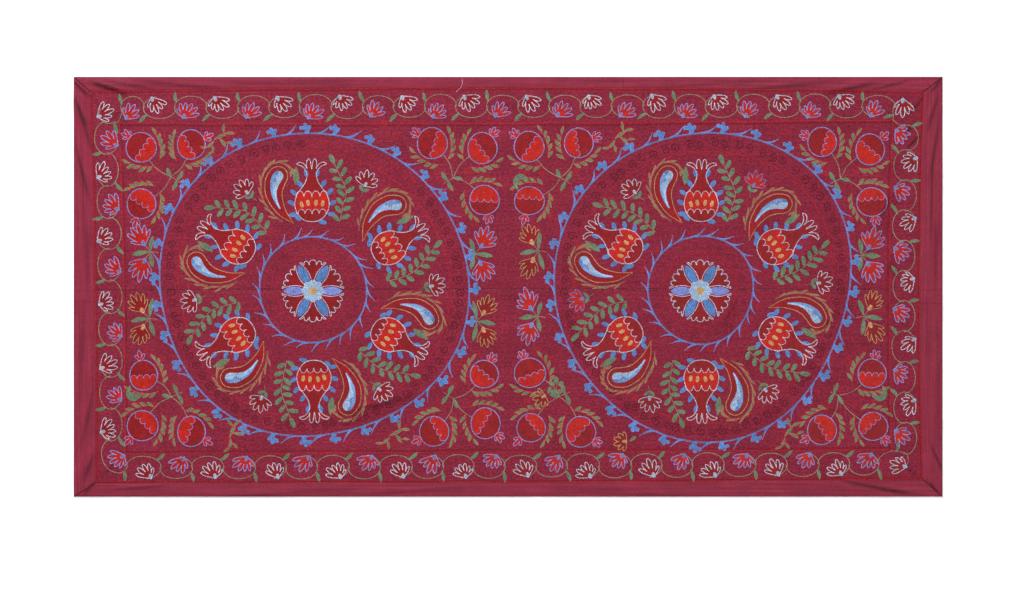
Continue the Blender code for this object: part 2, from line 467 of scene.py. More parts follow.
# Floss silk, loosely twisted. Each colour's hex is the lit thread. Stitch lengths and widths are in metres.
silks = {
    "silkScarlet": {"hex": "C61E14", "slot": "silk_red"},
    "silkCrimson": {"hex": "98101A", "slot": "silk_red"},
    "silkWine": {"hex": "5A081C", "slot": "silk_red"},
    "silkRust": {"hex": "CC5233", "slot": "silk_red"},
    "silkBlue": {"hex": "5887C6", "slot": "silk_blue"},
    "silkPeriwinkle": {"hex": "8490D8", "slot": "silk_blue"},
    "silkCornflower": {"hex": "84A4E8", "slot": "silk_blue"},
    "silkSky": {"hex": "A3BFDC", "slot": "silk_pale"},
    "silkLilacWhite": {"hex": "D4DCEE", "slot": "silk_pale"},
    "silkGreen": {"hex": "6C8468", "slot": "silk_green"},
    "silkOlive": {"hex": "969A80", "slot": "silk_green"},
    "silkGold": {"hex": "CDA472", "slot": "silk_gold"},
}

stitch = {
    "link": 0.0036,
    "linkWidth": 0.0027,
    "linkHeight": 0.00105,
    "grain": 0.0044,
    "grainWidth": 0.0021,
    "grainHeight": 0.0008,
    "rowPitch": 2.05,
}

chains = {name: [] for name in silks}
grains = {name: [] for name in silks}
patches = {name: [] for name in silks}

# one link of chain stitch: two strands that part at its tail and meet at its head, as a pair of low lobes
linkPoints = np.array([
    (-0.12, 0.02, 0.10), (0.50, 0.03, 0.15), (1.05, 0.10, 0.20), (0.60, 0.50, -0.15), (0.52, 0.27, 1.0),
    (-0.12, -0.02, 0.10), (0.50, -0.03, 0.15), (1.05, -0.10, 0.20), (0.60, -0.50, -0.15), (0.52, -0.27, 1.0),
])
linkFaces = np.array([
    (0, 1, 4), (1, 2, 4), (2, 3, 4), (3, 0, 4),
    (6, 5, 9), (7, 6, 9), (8, 7, 9), (5, 8, 9),
])
# one stitch of filling: a single low lobe
grainPoints = np.array([(-0.08, 0.0, -0.1), (0.5, -0.5, -0.1), (1.08, 0.0, -0.1), (0.5, 0.5, -0.1),
                        (0.5, 0.0, 1.0)])
grainFaces = np.array([(0, 1, 4), (1, 2, 4), (2, 3, 4), (3, 0, 4)])


def polar(radius, degrees):
    return radius * np.exp(1j * np.radians(degrees))


def setAt(spot, heading=90.0, size=1.0, mirror=False):
    turn = 0.001 * size * np.exp(1j * math.radians(heading - 90))

    def toCloth(points):
        points = np.asarray(points, complex)
        return spot + turn * (-np.conj(points) if mirror else points)

    return toCloth


def rounded(points, closed=True, rounds=2):
    points = np.asarray(points, complex)
    for _ in range(rounds):
        start = points if closed else points[:-1]
        end = np.roll(points, -1) if closed else points[1:]
        cut = np.empty(2 * len(start), complex)
        cut[0::2] = 0.75 * start + 0.25 * end
        cut[1::2] = 0.25 * start + 0.75 * end
        points = cut if closed else np.concatenate((points[:1], cut, points[-1:]))
    return points


def evenly(line, spacing, closed=False, start=0.0):
    # the same line with points at an even spacing
    line = np.asarray(line, complex)
    if closed:
        line = np.append(line, line[0])
    run = np.concatenate(([0.0], np.cumsum(np.abs(np.diff(line)))))
    count = max(1, round((run[-1] - start) / spacing))
    stops = np.linspace(min(start, run[-1] / 2), run[-1], count + 1)
    return np.interp(stops, run, line.real) + 1j * np.interp(stops, run, line.imag)


def inside(points, outline):
    x, y = points.real[:, None], points.imag[:, None]
    ax, ay = outline.real[None, :], outline.imag[None, :]
    bx, by = np.roll(ax, -1, 1), np.roll(ay, -1, 1)
    crosses = (ay > y) != (by > y)
    with np.errstate(divide="ignore", invalid="ignore"):
        at = (bx - ax) * (y - ay) / (by - ay) + ax
    return (crosses & (x < at)).sum(1) % 2 == 1


def chain(thread, line, to, closed=False, width=1.0, lift=0.0):
    # a line of chain stitch along a line drawn in the motif's own millimetres
    points = evenly(to(line), stitch["link"], closed)
    wobble = random.normal(0, 0.00012, len(points)) + 1j * random.normal(0, 0.00012, len(points))
    if closed:
        wobble[-1] = wobble[0]
    points = points + wobble
    chains[thread].append((points[:-1], points[1:], width, lift))


def fill(thread, outline, rows, to, lift=0.0, patch=True):
    # rows of filling stitch kept inside an outline, over a laid ground of the same thread
    outline = to(outline)
    if patch:
        patches[thread].append((outline, lift))
    tails, heads = [], []
    for index, row in enumerate(rows):
        points = evenly(to(row), stitch["grain"], start=0.5 * stitch["grain"] * (index % 2))
        tails.append(points[:-1])
        heads.append(points[1:])
    if not tails:
        return
    tails, heads = np.concatenate(tails), np.concatenate(heads)
    kept = inside((tails + heads) / 2, outline)
    grains[thread].append((tails[kept], heads[kept], lift))


def hatch(outline, degrees, pitch=None):
    pitch = pitch or stitch["rowPitch"]
    turned = np.asarray(outline) * polar(1, -degrees)
    left, right = turned.real.min(), turned.real.max()
    heights = np.arange(turned.imag.min() + pitch / 2, turned.imag.max(), pitch)
    return [np.array([left + 1j * h, right + 1j * h]) * polar(1, degrees) for h in heights]


def rings(centre, radius, pitch=None, squash=1.0):
    pitch = pitch or stitch["rowPitch"]
    turns = np.radians(np.arange(0, 361, 12))
    return [centre + r * (np.cos(turns) + 1j * squash * np.sin(turns))
            for r in np.arange(pitch / 2, radius, pitch)]


def rays(root, start, end, reach, count):
    return [np.array([root + polar(2, a), root + polar(reach, a)]) for a in np.linspace(start, end, count)]


def offset(line, distance):
    # the same line moved to its left by a distance, or by one distance for each point
    slope = np.gradient(line)
    return line + 1j * slope / np.abs(slope) * distance


def through(points, steps=7, closed=False):
    # a smooth curve that passes through each point
    p = np.asarray(points, complex)
    if closed:
        p = np.concatenate((p[-1:], p, p[:2]))
    else:
        p = np.concatenate((2 * p[:1] - p[1:2], p, 2 * p[-1:] - p[-2:-1]))
    t = np.arange(steps) / steps
    curve = []
    for a, b, c, d in zip(p, p[1:], p[2:], p[3:]):
        curve.append(0.5 * (2 * b + (c - a) * t + (2 * a - 5 * b + 4 * c - d) * t**2
                                + (3 * b - a - 3 * c + d) * t**3))
    curve = np.concatenate(curve)
    return curve if closed else np.append(curve, p[-2])


def leaf(to, root, heading, length, width, thread="silkGreen", edge=None, bend=0.0, lift=0.0, blunt=False):
    # an oval or pointed leaf from its root; bend swings the tip sideways, in millimetres
    if blunt:
        shares = [(0.0, 0.12), (0.18, 0.36), (0.45, 0.5), (0.72, 0.5), (0.93, 0.3)]
        tip = 1.0
    else:
        shares = [(0.0, 0.06), (0.26, 0.27), (0.52, 0.5), (0.80, 0.40)]
        tip = 1.04
    right = [width * w + 1j * length * s for s, w in shares]
    leftSide = [-width * w + 1j * length * s for s, w in reversed(shares)]
    outline = np.array(right + [1j * length * tip] + ([] if blunt else [1j * length * tip]) + leftSide)
    outline = rounded(outline, rounds=2)
    outline = outline + bend * (outline.imag / length) ** 2
    outline = root + outline * polar(1, heading - 90)
    fill(thread, outline, hatch(outline, heading), to, lift)
    chain(edge or thread, outline, to, closed=True, width=0.77, lift=lift + 0.0001)


def fanOutline(reach, notch, opening, lean=0.0):
    # a fan of pointed fingers from a root at 0, the first on the left; reach is each finger's length
    count = len(reach)
    step = opening / count
    points = [0j, 0j]
    for index, length in enumerate(reach):
        middle = 90 + lean + opening / 2 - step * (index + 0.5)
        if index == 0:
            points.append(polar(length * 0.45, middle + 0.5 * step))
        points += [polar(length * 0.76, middle + 0.44 * step), polar(length * 0.96, middle + 0.23 * step),
                   polar(length * 1.06, middle + 0.02 * step), polar(length * 1.06, middle - 0.02 * step),
                   polar(length * 0.96, middle - 0.23 * step), polar(length * 0.76, middle - 0.44 * step)]
        if index < count - 1:
            dip = polar(notch * min(length, reach[index + 1]), middle - step / 2)
            points += [dip, dip]
        else:
            points.append(polar(length * 0.45, middle - 0.5 * step))
    return rounded(points, rounds=2)


def fanFlower(to, reach, notch=0.44, opening=150, lean=0.0, outline="silkCornflower", petals="silkScarlet",
              heart="silkBlue", heartSize=1.0, lift=0.0, width=0.95):
    shape = fanOutline(reach, notch, opening, lean)
    spread = opening / 2 + 8
    fill(petals, shape, rays(-4j, 90 + lean + spread, 90 + lean - spread, max(reach) + 6, 17), to, lift)
    chain(outline, shape, to, closed=True, width=width, lift=lift + 0.0002)
    if heart:
        drop = rounded([-3.4 + 1j, -3 - 2j, 2.6 - 2j, 4.6 + 2j, 5.4 + 9j, 1.5 + 14.5j, -3.4 + 11j], rounds=2)
        drop = drop * heartSize * polar(1, lean * 0.6)
        fill(heart, drop, hatch(drop, 90 + lean * 0.6), to, lift + 0.0003)
        chain(heart, drop, to, closed=True, width=0.7, lift=lift + 0.0003)


def spiral(to, centre, radius, turns=1.6, start=0.0, thread="silkScarlet", width=0.55, clockwise=False,
           tail=0.0):
    sweep = np.linspace(0, turns * 360, max(14, int(22 * turns)))
    line = centre + polar(radius * (1 - 0.78 * sweep / sweep[-1]), start + (-sweep if clockwise else sweep))
    if tail:
        line = np.concatenate(([line[0] + polar(tail, start + (100 if clockwise else -100))], line))
    chain(thread, line, to, width=width)


def scallops(left, right, count, height):
    # bumps in a row from one point to another, standing to the left of the way from right to left
    way = (right - left) / count
    up = 1j * way / abs(way)
    turns = np.radians(np.linspace(180, 0, 9))
    points = []
    for index in range(count):
        middle = left + way * (index + 0.5)
        points += [middle + way / 2 * math.cos(a) * 1.0 + up * height * math.sin(a) for a in turns[:-1]]
    return np.array(points + [right])


def alternate(first, second, index):
    return first if index % 2 == 0 else second


def jitter(amount):
    return random.uniform(-amount, amount)

# Guard lines: how far the outer ones stand in from the seams, and where the inner ones run, from the cloth's
# edges, at the start, middle and end of each side
guards = {
    "inset": 0.0035,
    "top": (0.1165, 0.1175, 0.107),
    "bottom": (0.1085, 0.113, 0.120),
    "left": (0.129, 0.126, 0.111),
    "right": (0.125, 0.134, 0.1215),
    "wave": 0.0006,
}

vine = {
    "sides": [(26, 0.047, 0.016), (12, 0.060, 0.020), (24, 0.090, -0.076), (12, 0.020, 0.014)],
    "bulge": 0.0295,
    "rootBack": 0.020,
    "five": [31, 42, 46, 44, 42],
    "six": [28, 36, 41, 42, 43, 39],
    "leafLength": 27,
    "leafWidth": 8.5,
}


def frameLines(inset):
    # the four lines of a guard: inset None gives the inner one
    if inset is None:
        return (lambda x: high.y - bow(guards["top"], 2 * x / clothLength),
                lambda x: low.y + bow(guards["bottom"], 2 * x / clothLength),
                lambda y: low.x + bow(guards["left"], 2 * y / clothWidth),
                lambda y: high.x - bow(guards["right"], 2 * y / clothWidth))
    return (lambda x: topSeam(x) - inset, lambda x: bottomSeam(x) + inset,
            lambda y: leftSeam(y) + inset, lambda y: rightSeam(y) - inset)


outerGuard, innerGuard = frameLines(guards["inset"]), frameLines(None)


def onFrame(across, upward, lines):
    # a point of a bowed frame, from shares between -1 and 1 of its width and height
    top, bottom, left, right = lines
    x, y = across * clothLength / 2, upward * clothWidth / 2
    for _ in range(5):
        x = left(y) + (right(y) - left(y)) * (across + 1) / 2
        y = bottom(x) + (top(x) - bottom(x)) * (upward + 1) / 2
    return complex(x, y)


def guardLine(lines, thread, width, shift=0.0):
    corners = [(-1, 1), (1, 1), (1, -1), (-1, -1)]
    asDrawn = lambda points: np.asarray(points, complex)
    for (ax, ay), (bx, by) in zip(corners, corners[1:] + corners[:1]):
        shares = np.linspace(0, 1, 60)
        line = np.array([onFrame(ax + (bx - ax) * t, ay + (by - ay) * t, lines) for t in shares])
        line = offset(line, -shift) + guards["wave"] * np.sin(shares * 37) * 1j
        chain(thread, line, asDrawn, width=width)


guardLine(outerGuard, "silkCrimson", 0.9)
guardLine(outerGuard, "silkScarlet", 0.7, shift=-0.0030)
guardLine(innerGuard, "silkScarlet", 0.7)
guardLine(innerGuard, "silkCrimson", 0.9, shift=0.0034)
guardLine(innerGuard, "silkWine", 0.7, shift=0.0062)


def midFrame(across, upward):
    return (onFrame(across, upward, outerGuard) + onFrame(across, upward, innerGuard)) / 2


# the vine's middle line, clockwise from the top left corner, with rounded corners
cornersIn = [(-1, 1), (1, 1), (1, -1), (-1, -1)]
track = []
for (ax, ay), (bx, by) in zip(cornersIn, cornersIn[1:] + cornersIn[:1]):
    for t in np.linspace(0, 1, 80, endpoint=False):
        track.append(midFrame(ax + (bx - ax) * t, ay + (by - ay) * t))
corner = [track[80 * k] for k in range(4)]
track = evenly(np.append(track, track[0]), 0.010)[:-1]
for _ in range(24):
    track = (np.roll(track, 1) + 2 * track + np.roll(track, -1)) / 4
trackLoop = np.append(track, track[0])
trackRun = np.concatenate(([0.0], np.cumsum(np.abs(np.diff(trackLoop)))))
cornerRun = [trackRun[np.argmin(np.abs(track - spot))] for spot in corner] + [trackRun[-1]]


def onTrack(run, side):
    # a place beside the vine's middle line: run along it, and side outwards from it, in metres
    run = np.asarray(run, float) % trackRun[-1]
    ahead = (run + 0.004) % trackRun[-1]
    here = np.interp(run, trackRun, trackLoop.real) + 1j * np.interp(run, trackRun, trackLoop.imag)
    there = np.interp(ahead, trackRun, trackLoop.real) + 1j * np.interp(ahead, trackRun, trackLoop.imag)
    way = (there - here) / np.abs(there - here)
    return here + 1j * way * side, way


# each side has its own number of flowers: how many, and how far past its two corners they begin and end
places = []
for (count, first, last), begin, end in zip(vine["sides"], cornerRun, cornerRun[1:]):
    places += list(np.linspace(begin + first, end + last, count))
places = [run + random.normal(0, 0.0015) for run in places]
ends = [places[-1] - trackRun[-1]] + places + [places[0] + trackRun[-1]]

asDrawn = lambda points: np.asarray(points, complex)
for index, run in enumerate(places):
    blue = index % 2 == 0
    # blue flowers open outwards, and the vine passes outside them; white ones are the other way round
    side = 1 if blue else -1
    bulge = vine["bulge"] * random.uniform(0.93, 1.06)
    before, after = (ends[index] + run) / 2, (ends[index + 2] + run) / 2
    halfWay, middle = (after - before) / 2, (after + before) / 2
    turns = np.radians(np.linspace(180, 0, 22))
    over, _ = onTrack(middle + halfWay * 1.04 * np.cos(turns), side * bulge * np.sin(turns) ** 0.93)
    chain("silkOlive", over, asDrawn, width=0.95)
    turns = np.radians(np.linspace(176, 258, 12))
    curl, _ = onTrack(middle + halfWay * 1.04 * np.cos(turns), side * bulge * np.sin(turns))
    chain("silkOlive", curl, asDrawn, width=0.95)
    root, way = onTrack(middle - vine["rootBack"], -side * (bulge * 0.95))
    facing = math.degrees(np.angle(1j * way * side))
    to = setAt(complex(root), facing + jitter(4), random.uniform(0.88, 0.98), mirror=not blue)
    reach = [r * random.uniform(0.92, 1.08) for r in vine[alternate("five", "six", index // 2)]]
    fanFlower(to, reach, notch=0.52, opening=21.5 * len(reach),
              lean=-40 + 2.5 * len(reach) + jitter(9), width=0.95,
              outline="silkCornflower" if blue else "silkLilacWhite",
              petals="silkScarlet" if blue else "silkCrimson",
              heart="silkBlue" if blue else "silkSky", heartSize=0.95)
    # the leaf leans back from the crook after each flower: outwards after a white one, inwards after a blue
    crook, way = onTrack(after + (0.010 if blue else 0.004), -side * (0.018 if blue else 0.011))
    back = math.degrees(np.angle(way)) + (-158 if blue else 122) + jitter(9)
    to = setAt(complex(crook), back, 1.0, mirror=blue)
    leaf(to, 0j, 90, vine["leafLength"] * random.uniform(0.9, 1.15), vine["leafWidth"], bend=7)
print("vine worked:", len(places), "flowers")

# Both rings are drawn by hand: the waver is how far each strays, in millimetres, as pairs of cosine and sine
# for one, two, three and four beats around it
medallion = {
    "centres": [-0.4945 - 0.0107j, 0.4865 - 0.0107j],
    "ring": [388.0, 382.0],
    "waver": [
        [(0, 16), (4, -3), (5, 0), (-2, -3)],
        [(9, 16), (-9, 4), (-5, 8), (-1, 2)],
    ],
    "threadInside": 47.0,
    "scrollInside": 25.0,
    "heartRing": 134.0,
    "heartThread": 92.0,
    "sprays": 31,
    "thorns": 26,
    "scrolls": 76,
}


def wavering(waver, degrees):
    turns = np.radians(degrees)
    return sum(c * np.cos((k + 1) * turns) + s * np.sin((k + 1) * turns) for k, (c, s) in enumerate(waver))


def ringLine(to, radius, thread, width, waver, part=1.0, rows=1, pitch=2.1):
    turns = np.linspace(0, 360, 241)[:-1]
    for row in range(rows):
        line = polar(radius + row * pitch + part * wavering(waver, turns), turns)
        chain(thread[row % len(thread)], line, to, closed=True, width=width)


# a spur of the rings, and the lobed curl beside it, in millimetres: outwards is up, and clockwise is right
spur = [-17 - 1j, -7 + 1.3j, 3 + 4.1j, 13.6 + 9j, 23 + 15.6j, 31 + 23j, 31.6 + 23j, 26 + 14.8j,
        19 + 8.2j, 13 + 3.3j, 9 - 1j]
curl = [6.5 - 1j, 6 + 5j, 8.5 + 10j, 13 + 14j, 14 + 19j, 10 + 23j, 5.5 + 21j, 2.5 + 16.5j, 1.5 + 16.5j,
        3 + 23j, 0 + 28.5j, -6 + 29.5j, -9 + 25j, -7 + 19j, -7.6 + 18j, -13 + 22.5j, -19 + 20.5j,
        -20.5 + 14.5j, -16 + 10.5j, -11 + 12.5j, -7 + 13j, -3.5 + 10j, -4 + 4j, -9 - 1j]


def onRing(to, radius, at, size, bend=0.0):
    # a frame that stands on a ring of this radius, turned to face outwards
    root = polar(radius, at)
    return lambda points: to(root + np.asarray(points, complex) * size * polar(1, at - 90 + bend))


def thorn(to, radius, at, size):
    place = onRing(to, radius, at, size, jitter(5))
    shape = rounded([spur[0], spur[0]] + spur[1:] + [spur[-1]], rounds=2)
    shape = shape + 1.5 * random.uniform(-1, 1) * (shape.imag / 27)
    fill("silkBlue", shape, hatch(shape, 50), place)
    chain("silkPeriwinkle", rounded(spur[:7] + [39 + 30j], closed=False), place, width=0.62, lift=0.0002)
    chain("silkBlue", rounded(spur[6:], closed=False), place, width=0.6, lift=0.0001)


def lobedCurl(to, radius, at, size):
    place = onRing(to, radius, at, size, jitter(7))
    shape = np.array(curl) + jitter(0.8)
    shape = rounded(shape.real * random.uniform(0.93, 1.07) + 1j * shape.imag * random.uniform(0.93, 1.05),
                    rounds=2)
    fill("silkBlue", shape, hatch(shape, 120), place)
    chain("silkPeriwinkle", shape, place, closed=True, width=0.6, lift=0.0001)


def oval(to, middle, heading, length, width, thread, lift=0.0, rim=None):
    turns = np.arange(0, 360, 24)
    rays = np.radians(turns)
    shape = middle + (length / 2 * np.cos(rays) + 1j * width / 2 * np.sin(rays)) * polar(1, heading)
    fill(thread, shape, hatch(shape, heading), to, lift)
    chain(rim or thread, shape, to, closed=True, width=0.72, lift=lift + 0.0001)


pomegranate = {
    "middle": 216.0,
    "side": [0 - 41j, 20 - 38j, 35 - 24j, 43 - 6j, 44 + 9j, 38 + 29j, 26 + 44j, 16 + 58j, 11.5 + 73j,
             12.5 + 85j, 19 + 96j, 30 + 102.5j, 38 + 103.5j, 39 + 104j, 33 + 110j, 22 + 108.5j, 14 + 100j,
             11.6 + 92j, 11.2 + 92j, 13.2 + 104j, 12 + 114j, 7.6 + 120j, 3.4 + 114j, 1.6 + 102j, 0.2 + 91j],
    "capLine": -25.0,
    "bandLine": 20.0,
    "seeds": [(-26, 3, 22), (-10, 7, 14), (10, 7, -3), (27, 5, -10)],
    "leaves": [(38, -22, 0), (43, 2, 28), (38, 27, 40), (23, 47, 55), (11, 72, 68), (16, -38, -12)],
}


def bigPomegranate(to):
    side = np.array(pomegranate["side"]) * np.array([1.0 + jitter(0.03)])
    outline = np.concatenate((side, -np.conj(side[:0:-1])))
    outline = rounded(outline, rounds=2) + 1j * pomegranate["middle"]
    low1 = pomegranate["middle"] + pomegranate["capLine"]
    low2 = pomegranate["middle"] + pomegranate["bandLine"]

    def cutAt(level):
        above = np.nonzero(outline.imag > level)[0]
        # the outline starts at its foot, so what stands above a level is one run
        return above[0], above[-1]

    capRight, capLeft = cutAt(low1)
    bandRight, bandLeft = cutAt(low2)
    capLine = scallops(outline[capLeft], outline[capRight], 4, 13.0)
    bandLine = scallops(outline[bandLeft], outline[bandRight], 4, 16.0)
    cap = np.concatenate((outline[:capRight], capLine[::-1], outline[capLeft + 1:]))
    band = np.concatenate((outline[capRight:bandRight], bandLine[::-1], outline[bandLeft:capLeft], capLine))
    neck = np.concatenate((outline[bandRight:bandLeft], bandLine))
    middle = 1j * pomegranate["middle"]
    fill("silkCrimson", cap, rings(middle, 60), to)
    fill("silkScarlet", band, hatch(band, 90), to)
    fill("silkCrimson", neck, hatch(neck, 90), to)
    chain("silkLilacWhite", capLine, to, width=0.85, lift=0.0002)
    chain("silkLilacWhite", bandLine, to, width=0.85, lift=0.0002)
    chain("silkLilacWhite", outline, to, closed=True, width=1.0, lift=0.0002)
    for x, y, tilt in pomegranate["seeds"]:
        oval(to, complex(x, y + pomegranate["middle"]), 90 + tilt, 15.5, 8.0, "silkGold", lift=0.0003)
    # small blue leaves stand all round it, their roots on its outline, leaning towards the crown
    for x, y, turn in pomegranate["leaves"]:
        for hand in (1, -1):
            if hand < 0 and y < -30:
                x, turn = x + 12, turn + 55
            heading = 90 + hand * (turn - 90 + jitter(7))
            root = middle + complex(hand * x, y)
            oval(to, root + polar(10.5, heading), heading, 19.5 + jitter(2), 9.8 + jitter(0.6), "silkBlue")


paisley = {
    "spine": [(178, 15.5), (218, 21.0), (262, 21.4), (290, 18.8), (304, 16.2)],
    "half": [0.0, 11.0, 19.5, 24.0, 24.0],
    "dropStart": 0.26,
    "fringeOff": 9.5,
    "fringeStep": 13.0,
}


def drop(spine, half):
    # a teardrop round a curved line, pointed where half is nothing and round at its far end
    leftLine, rightLine = offset(spine, half), offset(spine, -half)
    end = spine[-1] - spine[-2]
    ahead = math.degrees(np.angle(end))
    cap = spine[-1] + polar(half[-1], ahead + np.linspace(-80, 80, 9))
    return np.concatenate((rightLine, cap, leftLine[::-1]))


def paisleyMotif(to):
    spine = through([polar(r, 90 + a) for r, a in paisley["spine"]], steps=8)
    share = np.linspace(0, 1, len(spine))
    marks = np.linspace(0, 1, len(paisley["half"]))
    half = np.interp(share, marks, paisley["half"])
    half = half * (1 + 0.06 * np.sin(share * 3))
    body = drop(spine, half)
    lanes = [offset(spine, half * f) for f in np.linspace(-0.92, 0.92, 17)]
    fill("silkCrimson", body, lanes + rings(spine[-1], 21), to)
    chain("silkGold", np.concatenate((body[:1], rounded(body[1:], closed=False, rounds=1))), to, closed=True,
          width=0.9, lift=0.0002)
    kept = share >= paisley["dropStart"]
    innerSpine = spine[kept]
    innerShare = (share[kept] - paisley["dropStart"]) / (1 - paisley["dropStart"])
    innerHalf = np.interp(innerShare, [0, 0.4, 0.75, 1], [0.6, 7.0, 12.6, 13.0])
    pale = drop(innerSpine, innerHalf)
    fill("silkSky", pale, [offset(innerSpine, innerHalf * f) for f in np.linspace(-0.9, 0.9, 11)]
         + rings(innerSpine[-1], 12), to, lift=0.0003)
    # the deeper blue lies along the outer curve, with a wavy inner edge
    waveLine = offset(innerSpine, innerHalf * (0.10 + 0.30 * np.sin(innerShare * 15)))
    capTurn = math.degrees(np.angle(innerSpine[-1] - innerSpine[-2]))
    capEnd = innerSpine[-1] + polar(innerHalf[-1], capTurn + np.linspace(15, 85, 5))
    deep = np.concatenate((waveLine, capEnd, offset(innerSpine, innerHalf)[::-1]))
    fill("silkBlue", deep, [offset(innerSpine, innerHalf * f) for f in np.linspace(0.0, 0.95, 7)]
         + rings(innerSpine[-1], 12), to, lift=0.0004)
    chain("silkPeriwinkle", pale, to, closed=True, width=0.5, lift=0.0003)
    # a fringed tendril runs outside it, round the head
    outside = offset(spine, half + paisley["fringeOff"])[4:]
    ahead = math.degrees(np.angle(spine[-1] - spine[-2]))
    over = spine[-1] + polar(half[-1] + paisley["fringeOff"], ahead + np.linspace(75, -38, 12))
    tendril = rounded(np.concatenate((outside, over)), closed=False, rounds=1)
    chain("silkGreen", tendril, to, width=0.75)
    chain("silkRust", offset(tendril, 2.3), to, width=0.45)
    spots = evenly(tendril, paisley["fringeStep"])
    for number, (here, there) in enumerate(zip(spots[1:-1], spots[2:])):
        way = math.degrees(np.angle(there - here))
        leaf(to, here, way + alternate(27, 15, number) + jitter(7), 23 + jitter(4), 4.8,
             edge="silkRust", bend=3)
    end = tendril[-1]
    for turn in (-100, -62, -140):
        leaf(to, end, ahead + turn, 15, 5.5, edge="silkRust", bend=2)
    leaf(to, polar(318, 90 + 7.2), -90 + jitter(5), 45, 14.5, bend=2)


branch = {
    "line": [(188, -21.5), (228, -20.5), (268, -18.3), (326, -10.5)],
    "leaves": 7,
    "length": 24,
    "width": 9.8,
}


def leafyBranch(to):
    stem = through([polar(r, 90 + a + jitter(0.8)) for r, a in branch["line"]], steps=8)
    start, end = stem[0], stem[-1]
    way = math.degrees(np.angle(end - stem[-4]))
    chain("silkOlive", stem, to, width=0.8)
    spots = evenly(stem, abs(end - start) / branch["leaves"])
    for index, spot in enumerate(spots[:-1]):
        heading = math.degrees(np.angle(spots[index + 1] - spot))
        for turn in (56, -56):
            root = spot + (spots[index + 1] - spot) * (0.0 if turn > 0 else 0.35)
            leaf(to, root + polar(2, heading + turn), heading + turn + jitter(9),
                 branch["length"] + jitter(2.5),
                 branch["width"], blunt=True)
    leaf(to, spots[-1], way + jitter(8), branch["length"] + 3, branch["width"] + 1, blunt=True)


def sprigFlower(to, red):
    # a small fan flower by the outer ring, on a two-leaved stalk
    root = polar(296, 90 - 26.6 + jitter(0.8))
    facing = 90 - 13 + jitter(13)
    flowerAt = lambda points: to(root + np.asarray(points) * polar(1, facing - 90))
    reach = [31, 36, 40, 39, 36, 31]
    fanFlower(flowerAt, reach, notch=0.56, opening=156, width=0.8,
              outline="silkPeriwinkle" if red else "silkLilacWhite",
              petals="silkScarlet" if red else "silkCrimson",
              heart="silkBlue" if red else "silkSky", heartSize=0.8)
    foot = root - polar(28, facing + 8)
    chain("silkGreen", [root, root - polar(12, facing), foot], to, width=0.9)
    for turn in (48, -48):
        leaf(to, root - polar(14, facing), facing + turn, 17, 8, bend=2)


rosette = {"petal": 74.0, "petalWidth": 17.5, "fan": [71, 76, 76, 71], "flower": 27.0, "gold": 9.5}


def rosetteMotif(to):
    for k in range(6):
        heading = 60 * k
        shape = np.array([22 - 4j, 38 - 9.4j, 52 - 10.4j, 66 - 6.5j, rosette["petal"], rosette["petal"],
                          66 + 6.5j, 52 + 10.4j, 38 + 9.4j, 22 + 4j]) * polar(1, heading)
        shape = rounded(shape, rounds=2)
        blue = "silkPeriwinkle" if k % 3 == 0 else "silkBlue"
        fill(blue, shape, hatch(shape, heading), to)
        chain(blue, shape, to, closed=True, width=0.7, lift=0.0001)
        # a fan tulip between two petals: curved sides, two sharp corners and scallops between them
        facing = heading + 30
        half = [18 + 2.2j, 34 + 5j, 50 + 12.5j, 62 + 23.5j, 71 + 34j, 71.6 + 34j, 72 + 29j, 66 + 22.5j,
                65.6 + 22j, 73 + 22j, 76.5 + 17j, 74 + 12.6j, 64.6 + 9j, 64.6 + 8.6j, 74 + 8.6j, 78.5 + 4j]
        side = np.array(half)
        fan = np.concatenate((side, np.conj(side[::-1])))
        extra = rounded(fan * polar(1, facing), rounds=2)
        fill("silkCrimson", extra, rays(0j, facing - 28, facing + 28, 80, 15), to)
        chain("silkLilacWhite", extra, to, closed=True, width=0.9, lift=0.0002)
    petals = np.arange(0, 360, 7.5)
    shape = polar(22.5 + 5.5 * np.abs(np.cos(np.radians(petals * 4))), petals)
    fill("silkSky", shape, rings(0j, 29), to, lift=0.0003)
    chain("silkLilacWhite", shape, to, closed=True, width=0.7, lift=0.0003)
    gold = polar(rosette["gold"], np.arange(0, 360, 20))
    fill("silkGold", gold, rings(0j, 9.5), to, lift=0.0005)
    chain("silkGold", gold, to, closed=True, width=0.8, lift=0.0005)


